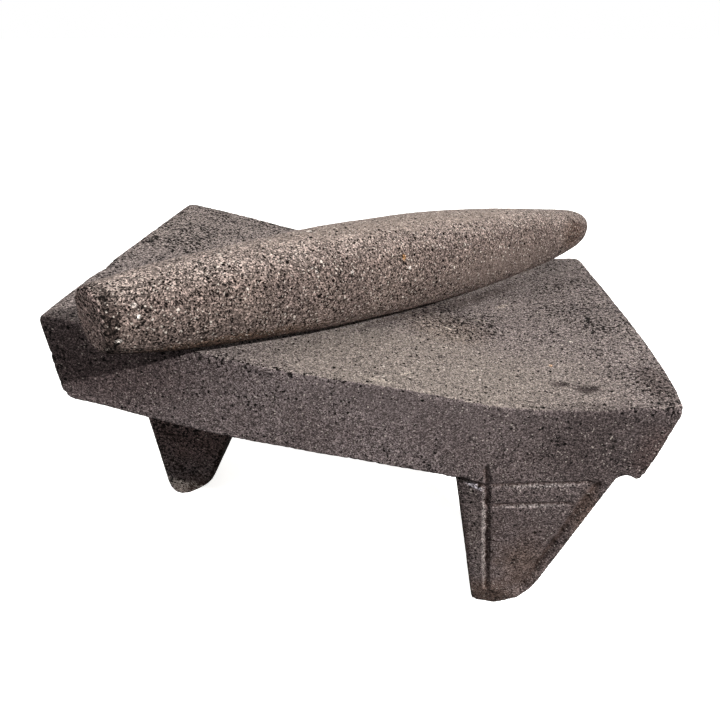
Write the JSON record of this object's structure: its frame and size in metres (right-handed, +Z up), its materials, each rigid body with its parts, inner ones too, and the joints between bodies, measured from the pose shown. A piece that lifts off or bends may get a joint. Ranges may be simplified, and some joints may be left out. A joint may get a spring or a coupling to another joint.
{
  "type": "saddle quern stone",
  "caption": "Three-legged saddle quern of porous basalt with a worn, hollowed top, and a long spindle-shaped handstone resting across it.",
  "frame": {"origin": "on the ground, below the centre of the box around both stones", "axes": "+Z up; +X along the slab from its high one-legged end to its low two-legged end; +Y across the slab from its front edge to its back edge"},
  "size_m": [0.3626, 0.3168, 0.2424],
  "materials": {
    "quern_basalt": "matte",
    "handstone_basalt": "matte"
  },
  "bodies": {
    "root": {"quern_slab": "quern_basalt", "handstone": "handstone_basalt"}
  },
  "joints": []
}
